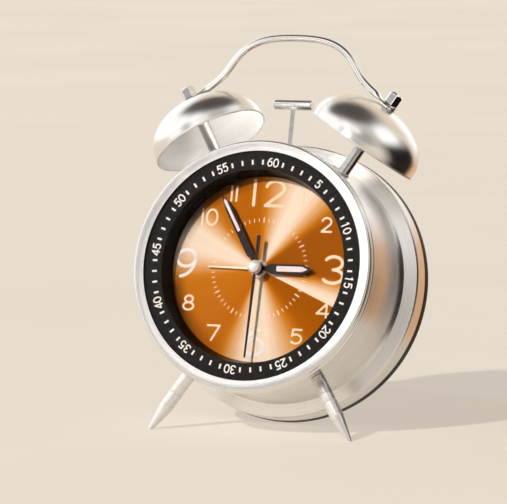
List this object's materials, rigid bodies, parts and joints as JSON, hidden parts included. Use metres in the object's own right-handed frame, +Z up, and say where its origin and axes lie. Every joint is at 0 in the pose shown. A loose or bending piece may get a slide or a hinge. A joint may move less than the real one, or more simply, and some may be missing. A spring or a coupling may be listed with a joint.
{
  "type": "twin bell alarm clock",
  "caption": "Round standing alarm clock with bells on posts, a hammer between them, a rod handle, turned legs, a copper dial under glass and a black rear cover with knobs and a battery door.",
  "frame": {"origin": "middle of the standing clock's footprint, on the surface it stands on", "axes": "+Z up; the dial faces -Y and leans back towards +Y; +X to the right as seen from the front"},
  "size_m": [0.1133, 0.0796, 0.1584],
  "materials": {
    "satin_steel": "satin",
    "bell_steel": "fine brushed",
    "polished_steel": "polished",
    "plain_steel": "plain",
    "clear_glass": "polished",
    "ring_black": "matt, printed white",
    "wall_black": "matt",
    "dial_copper": "sunburst lacquer",
    "hands_black": "satin, with pale lume",
    "alarm_gold": "satin",
    "cover_black": "fine grain",
    "knob_black": "satin",
    "chassis_grey": "plain",
    "housing_black": "plain",
    "gear_white": "plain",
    "magnet_dark": "sintered",
    "coil_copper": "enamelled wire",
    "board_green": "solder mask",
    "lamp_clear": "clear",
    "cell_jacket": "gloss sleeve",
    "switch_white": "plain"
  },
  "bodies": {
    "clock": {"bezel_ring": "satin_steel", "front_glass": "clear_glass", "chapter_ring": "ring_black", "dial_spacer": "wall_black", "led_lamp": "lamp_clear", "dial_plate": "dial_copper", "dial_collar": "polished_steel", "case_shell": "satin_steel", "rear_band": "satin_steel", "chassis_frame": "chassis_grey", "leg_left": "polished_steel", "leg_right": "polished_steel", "leg_nuts": "plain_steel", "bell_left": "bell_steel", "bell_right": "bell_steel", "bell_post_left": "polished_steel", "bell_post_right": "polished_steel", "post_nuts": "plain_steel", "bell_washers": "polished_steel", "bell_nuts": "polished_steel", "handle": "polished_steel", "striker_core": "plain_steel", "striker_coil": "coil_copper", "striker_bracket": "plain_steel", "striker_pin": "plain_steel", "movement_front": "housing_black", "movement_bridge": "housing_black", "movement_rear": "housing_black", "stator": "plain_steel", "drive_coil": "coil_copper", "rear_cover": "cover_black", "battery_cells": "cell_jacket", "battery_contacts": "plain_steel", "circuit_board": "board_green", "cover_screws": "plain_steel"},
    "second": {"second_hand": "hands_black", "hand_cap": "polished_steel", "seconds_wheel": "gear_white"},
    "third": {"third_wheel": "gear_white"},
    "centre": {"centre_wheel": "gear_white"},
    "intermediate": {"intermediate_wheel": "gear_white"},
    "rotor": {"rotor": "magnet_dark"},
    "minute": {"minute_hand": "hands_black", "cannon_pinion": "gear_white"},
    "minute_wheel": {"minute_wheel": "gear_white"},
    "hour": {"hour_hand": "hands_black", "hour_wheel": "gear_white"},
    "time_setter": {"time_set_arbor": "plain_steel", "time_set_knob": "knob_black"},
    "alarm": {"alarm_hand": "alarm_gold", "alarm_wheel": "gear_white"},
    "alarm_setter": {"alarm_set_arbor": "plain_steel", "alarm_set_knob": "knob_black"},
    "hammer": {"hammer_head": "polished_steel", "hammer_stem": "plain_steel", "hammer_magnet": "magnet_dark"},
    "door": {"battery_door": "cover_black"},
    "switch": {"alarm_switch": "switch_white"},
    "button": {"light_button": "switch_white"}
  },
  "joints": [
    {"name": "second_hand_turn", "type": "hinge", "parent": "clock", "child": "second", "pos_m": [0, -0.01736, 0.06588], "axis": [0, 0.9663, -0.2574], "continuous": true},
    {"name": "third_wheel_turn", "type": "hinge", "parent": "clock", "child": "third", "pos_m": [0.00673, -0.01909, 0.05938], "axis": [0, 0.9663, -0.2574], "continuous": true},
    {"name": "centre_wheel_turn", "type": "hinge", "parent": "clock", "child": "centre", "pos_m": [0, -0.01736, 0.06588], "axis": [0, 0.9663, -0.2574], "continuous": true},
    {"name": "intermediate_wheel_turn", "type": "hinge", "parent": "clock", "child": "intermediate", "pos_m": [-0.00342, -0.01494, 0.07496], "axis": [0, 0.9663, -0.2574], "continuous": true},
    {"name": "rotor_turn", "type": "hinge", "parent": "clock", "child": "rotor", "pos_m": [-0.00767, -0.01304, 0.08207], "axis": [0, 0.9663, -0.2574], "continuous": true},
    {"name": "minute_hand_turn", "type": "hinge", "parent": "clock", "child": "minute", "pos_m": [0, -0.01736, 0.06588], "axis": [0, 0.9663, -0.2574], "continuous": true},
    {"name": "minute_wheel_turn", "type": "hinge", "parent": "clock", "child": "minute_wheel", "pos_m": [-0.01199, -0.01749, 0.0654], "axis": [0, 0.9663, -0.2574], "continuous": true},
    {"name": "hour_hand_turn", "type": "hinge", "parent": "clock", "child": "hour", "pos_m": [0, -0.01736, 0.06588], "axis": [0, 0.9663, -0.2574], "continuous": true},
    {"name": "time_knob_turn", "type": "hinge", "parent": "clock", "child": "time_setter", "pos_m": [-0.014, -0.01405, 0.0783], "axis": [0, 0.9663, -0.2574], "continuous": true},
    {"name": "alarm_hand_turn", "type": "hinge", "parent": "clock", "child": "alarm", "pos_m": [0, -0.01736, 0.06588], "axis": [0, 0.9663, -0.2574], "continuous": true},
    {"name": "alarm_knob_turn", "type": "hinge", "parent": "clock", "child": "alarm_setter", "pos_m": [0.014, -0.01405, 0.0783], "axis": [0, 0.9663, -0.2574], "continuous": true},
    {"name": "hammer_swing", "type": "hinge", "parent": "clock", "child": "hammer", "pos_m": [0, 0.0093, 0.08982], "axis": [0, 0.9663, -0.2574], "range_deg": [-7.6, 7.6], "stiffness_Nm_per_rad": 0.006},
    {"name": "battery_door_hinge", "type": "hinge", "parent": "clock", "child": "door", "pos_m": [0, 0.01436, 0.01645], "axis": [-1, 0, 0], "range_deg": [0, 95]},
    {"name": "alarm_switch_slide", "type": "slide", "parent": "clock", "child": "switch", "axis": [1, 0, 0], "range_m": [0, 0.004]},
    {"name": "light_button_press", "type": "slide", "parent": "clock", "child": "button", "axis": [0, -0.9663, 0.2574], "range_m": [0, 0.0012], "stiffness_N_per_m": 300, "springref_m": -0.0004}
  ],
  "couplings": [
    {"joint": "third_wheel_turn", "follows": "second_hand_turn", "ratio": -0.125},
    {"joint": "centre_wheel_turn", "follows": "second_hand_turn", "ratio": 0.016667},
    {"joint": "intermediate_wheel_turn", "follows": "second_hand_turn", "ratio": -4},
    {"joint": "rotor_turn", "follows": "second_hand_turn", "ratio": 30},
    {"joint": "minute_wheel_turn", "follows": "minute_hand_turn", "ratio": -0.33333},
    {"joint": "hour_hand_turn", "follows": "minute_hand_turn", "ratio": 0.083333},
    {"joint": "time_knob_turn", "follows": "minute_hand_turn", "ratio": 0.66667},
    {"joint": "alarm_knob_turn", "follows": "alarm_hand_turn", "ratio": -1.2353}
  ]
}
